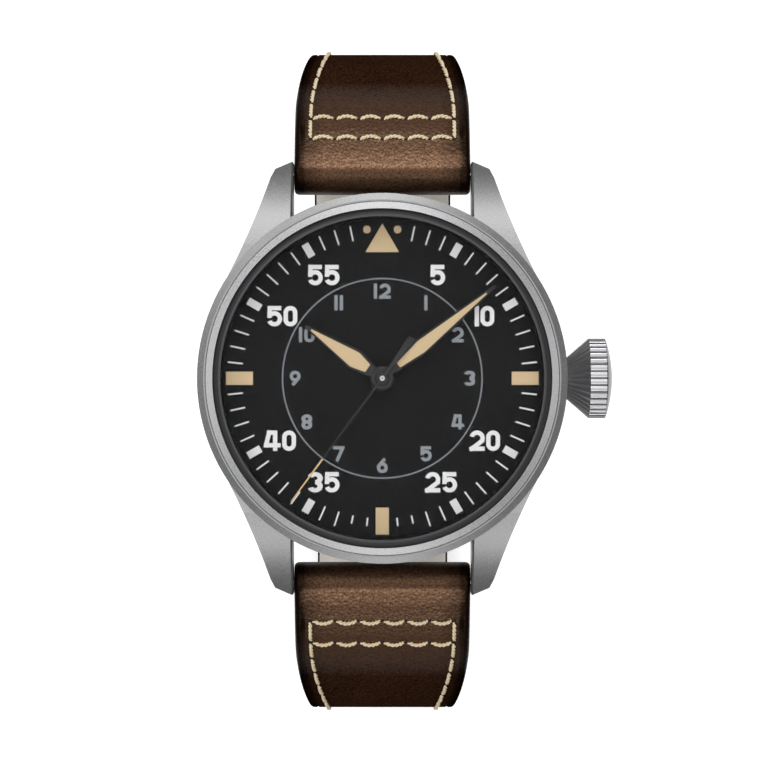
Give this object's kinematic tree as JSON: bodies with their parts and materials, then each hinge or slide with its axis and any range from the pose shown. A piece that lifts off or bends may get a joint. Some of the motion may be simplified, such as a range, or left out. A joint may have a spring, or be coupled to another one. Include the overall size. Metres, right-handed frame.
{
  "type": "pilot watch",
  "caption": "Round automatic wristwatch with a fluted conical crown, three hands under a domed crystal and a two-piece leather strap with a pin buckle",
  "frame": {"origin": "on the dial's axis, on the outer face of the case back", "axes": "+Z out of the dial, +Y towards twelve o'clock, +X towards the crown"},
  "size_m": [0.0484, 0.0817, 0.0746],
  "materials": {
    "case_steel": "sandblasted",
    "crown_steel": "polished",
    "sapphire": "polished",
    "seal_black": "matt",
    "flange_black": "satin",
    "plate_metal": "rhodium plated, grained",
    "fine_steel": "polished",
    "train_brass": "gilt",
    "blued_steel": "blued",
    "ruby": "polished",
    "rotor_metal": "ribbed",
    "dial_black": "matt",
    "print_white": "matt",
    "print_grey": "matt",
    "lume_beige": "matt",
    "hand_black": "satin",
    "leather_brown": "waxed calfskin",
    "lining_pale": "suede"
  },
  "bodies": {
    "case": {"case_middle": "case_steel", "bezel": "case_steel", "crystal": "sapphire", "gaskets": "seal_black", "flange_ring": "flange_black", "case_back": "case_steel", "case_back_window": "sapphire", "crown_tube": "fine_steel", "movement_ring": "plate_metal", "main_plate": "plate_metal", "barrel_bridge": "plate_metal", "train_bridge": "plate_metal", "balance_cock": "plate_metal", "pallet_bridge": "plate_metal", "automatic_bridge": "plate_metal", "jewels": "ruby", "bridge_screws": "blued_steel", "rotor_bearing": "blued_steel", "hairspring": "blued_steel", "dial": "dial_black", "minute_scale": "print_white", "hour_scale": "print_grey", "lume_markers": "lume_beige", "spring_bars": "fine_steel"},
    "winding": {"winding_pinion": "fine_steel"},
    "clutch": {"sliding_pinion": "fine_steel"},
    "crown": {"crown": "crown_steel", "winding_stem": "fine_steel"},
    "setting_lever": {"setting_lever": "fine_steel"},
    "crown_wheel": {"crown_wheel": "fine_steel"},
    "ratchet": {"ratchet_wheel": "fine_steel", "barrel_arbor": "fine_steel"},
    "click": {"click": "fine_steel"},
    "rotor": {"rotor": "rotor_metal"},
    "reversing_wheel": {"reversing_wheel": "train_brass"},
    "barrel": {"barrel": "train_brass", "mainspring": "fine_steel"},
    "centre_wheel": {"centre_wheel": "train_brass"},
    "third_wheel": {"third_wheel": "train_brass"},
    "seconds": {"fourth_wheel": "train_brass", "seconds_hand": "hand_black"},
    "escape_wheel": {"escape_wheel": "fine_steel"},
    "pallet_fork": {"pallet_fork": "fine_steel"},
    "balance": {"balance_wheel": "train_brass"},
    "minute": {"cannon_pinion": "fine_steel", "minute_hand": "hand_black", "minute_hand_lume": "lume_beige"},
    "minute_wheel": {"minute_wheel": "train_brass"},
    "hour": {"hour_wheel": "train_brass", "hour_hand": "hand_black", "hour_hand_lume": "lume_beige"},
    "strap_top": {"strap_top_leather": "leather_brown", "strap_top_lining": "lining_pale", "buckle_bar": "fine_steel", "fixed_keeper": "leather_brown"},
    "strap_bottom": {"strap_bottom_leather": "leather_brown", "strap_bottom_lining": "lining_pale"},
    "buckle": {"buckle_frame": "case_steel"},
    "tang": {"buckle_tang": "case_steel"},
    "keeper": {"free_keeper": "leather_brown"}
  },
  "joints": [
    {"name": "crown_turn", "type": "hinge", "parent": "case", "child": "winding", "pos_m": [0.01045, 0, 0.0062], "axis": [1, 0, 0], "continuous": true},
    {"name": "crown_pull", "type": "slide", "parent": "winding", "child": "crown", "axis": [1, 0, 0], "range_m": [0, 0.002]},
    {"name": "sliding_pinion_shift", "type": "slide", "parent": "winding", "child": "clutch", "axis": [1, 0, 0], "range_m": [-0.001, 0]},
    {"name": "setting_lever_turn", "type": "hinge", "parent": "case", "child": "setting_lever", "pos_m": [0.0139, -0.00362, 0.0052], "axis": [0, 0, -1], "range_deg": [0, 36.65]},
    {"name": "crown_wheel_turn", "type": "hinge", "parent": "case", "child": "crown_wheel", "pos_m": [0.011, 0.0042, 0.00262], "axis": [0, 0, 1], "continuous": true},
    {"name": "ratchet_turn", "type": "hinge", "parent": "case", "child": "ratchet", "pos_m": [0.00408, 0.00707, 0.00262], "axis": [0, 0, 1], "continuous": true},
    {"name": "click_rock", "type": "hinge", "parent": "case", "child": "click", "pos_m": [-0.0024, 0.0106, 0.00262], "axis": [0, 0, 1], "range_deg": [0, 8]},
    {"name": "rotor_turn", "type": "hinge", "parent": "case", "child": "rotor", "pos_m": [0, 0, 0.0017], "axis": [0, 0, 1], "continuous": true},
    {"name": "reversing_wheel_turn", "type": "hinge", "parent": "case", "child": "reversing_wheel", "pos_m": [-0.00502, 0.00135, 0.00208], "axis": [0, 0, 1], "continuous": true},
    {"name": "minute_hand_turn", "type": "hinge", "parent": "case", "child": "minute", "pos_m": [0, 0, 0.01005], "axis": [0, 0, -1], "continuous": true},
    {"name": "minute_wheel_turn", "type": "hinge", "parent": "case", "child": "minute_wheel", "pos_m": [0.00216, -0.00374, 0.0079], "axis": [0, 0, -1], "continuous": true},
    {"name": "hour_hand_turn", "type": "hinge", "parent": "case", "child": "hour", "pos_m": [0, 0, 0.0096], "axis": [0, 0, -1], "continuous": true},
    {"name": "seconds_hand_turn", "type": "hinge", "parent": "case", "child": "seconds", "pos_m": [0, 0, 0.0105], "axis": [0, 0, -1], "continuous": true},
    {"name": "third_wheel_turn", "type": "hinge", "parent": "case", "child": "third_wheel", "pos_m": [0.00382, -0.00382, 0.00435], "axis": [0, 0, -1], "continuous": true},
    {"name": "centre_wheel_turn", "type": "hinge", "parent": "case", "child": "centre_wheel", "pos_m": [0, 0, 0.0047], "axis": [0, 0, -1], "continuous": true},
    {"name": "barrel_turn", "type": "hinge", "parent": "case", "child": "barrel", "pos_m": [0.00408, 0.00707, 0.005], "axis": [0, 0, -1], "continuous": true},
    {"name": "escape_wheel_turn", "type": "hinge", "parent": "case", "child": "escape_wheel", "pos_m": [-0.00262, -0.00453, 0.0053], "axis": [0, 0, -1], "continuous": true},
    {"name": "pallet_fork_rock", "type": "hinge", "parent": "case", "child": "pallet_fork", "pos_m": [-0.00513, -0.00598, 0.0053], "axis": [0, 0, 1], "range_deg": [-5, 5]},
    {"name": "balance_swing", "type": "hinge", "parent": "case", "child": "balance", "pos_m": [-0.00851, -0.00793, 0.0041], "axis": [0, 0, 1], "range_deg": [-270, 270], "stiffness_Nm_per_rad": 0.00000076},
    {"name": "strap_top_swing", "type": "hinge", "parent": "case", "child": "strap_top", "pos_m": [0, 0.0241, 0.0023], "axis": [1, 0, 0], "range_deg": [0, 50]},
    {"name": "strap_bottom_swing", "type": "hinge", "parent": "case", "child": "strap_bottom", "pos_m": [0, -0.0241, 0.0023], "axis": [-1, 0, 0], "range_deg": [0, 50]},
    {"name": "buckle_swing", "type": "hinge", "parent": "strap_top", "child": "buckle", "pos_m": [0, 0.00118, -0.04105], "axis": [-1, 0, 0], "range_deg": [0, 70]},
    {"name": "tang_swing", "type": "hinge", "parent": "buckle", "child": "tang", "pos_m": [0, 0.00118, -0.04105], "axis": [1, 0, 0], "range_deg": [0, 60]},
    {"name": "keeper_slide", "type": "slide", "parent": "strap_top", "child": "keeper", "axis": [0, -1, 0], "range_m": [0, 0.006]}
  ],
  "couplings": [
    {"joint": "sliding_pinion_shift", "follows": "crown_pull", "ratio": -0.5},
    {"joint": "setting_lever_turn", "follows": "crown_pull", "rad_per_m": 319.76},
    {"joint": "crown_wheel_turn", "follows": "crown_turn", "ratio": 0.57143},
    {"joint": "ratchet_turn", "follows": "crown_turn", "ratio": -0.41905},
    {"joint": "reversing_wheel_turn", "follows": "rotor_turn", "ratio": -0.52941},
    {"joint": "minute_wheel_turn", "follows": "minute_hand_turn", "ratio": -0.33333},
    {"joint": "hour_hand_turn", "follows": "minute_hand_turn", "ratio": 0.083333},
    {"joint": "third_wheel_turn", "follows": "seconds_hand_turn", "ratio": -0.13333},
    {"joint": "centre_wheel_turn", "follows": "seconds_hand_turn", "ratio": 0.016667},
    {"joint": "barrel_turn", "follows": "seconds_hand_turn", "ratio": -0.002381},
    {"joint": "escape_wheel_turn", "follows": "seconds_hand_turn", "ratio": -12}
  ]
}
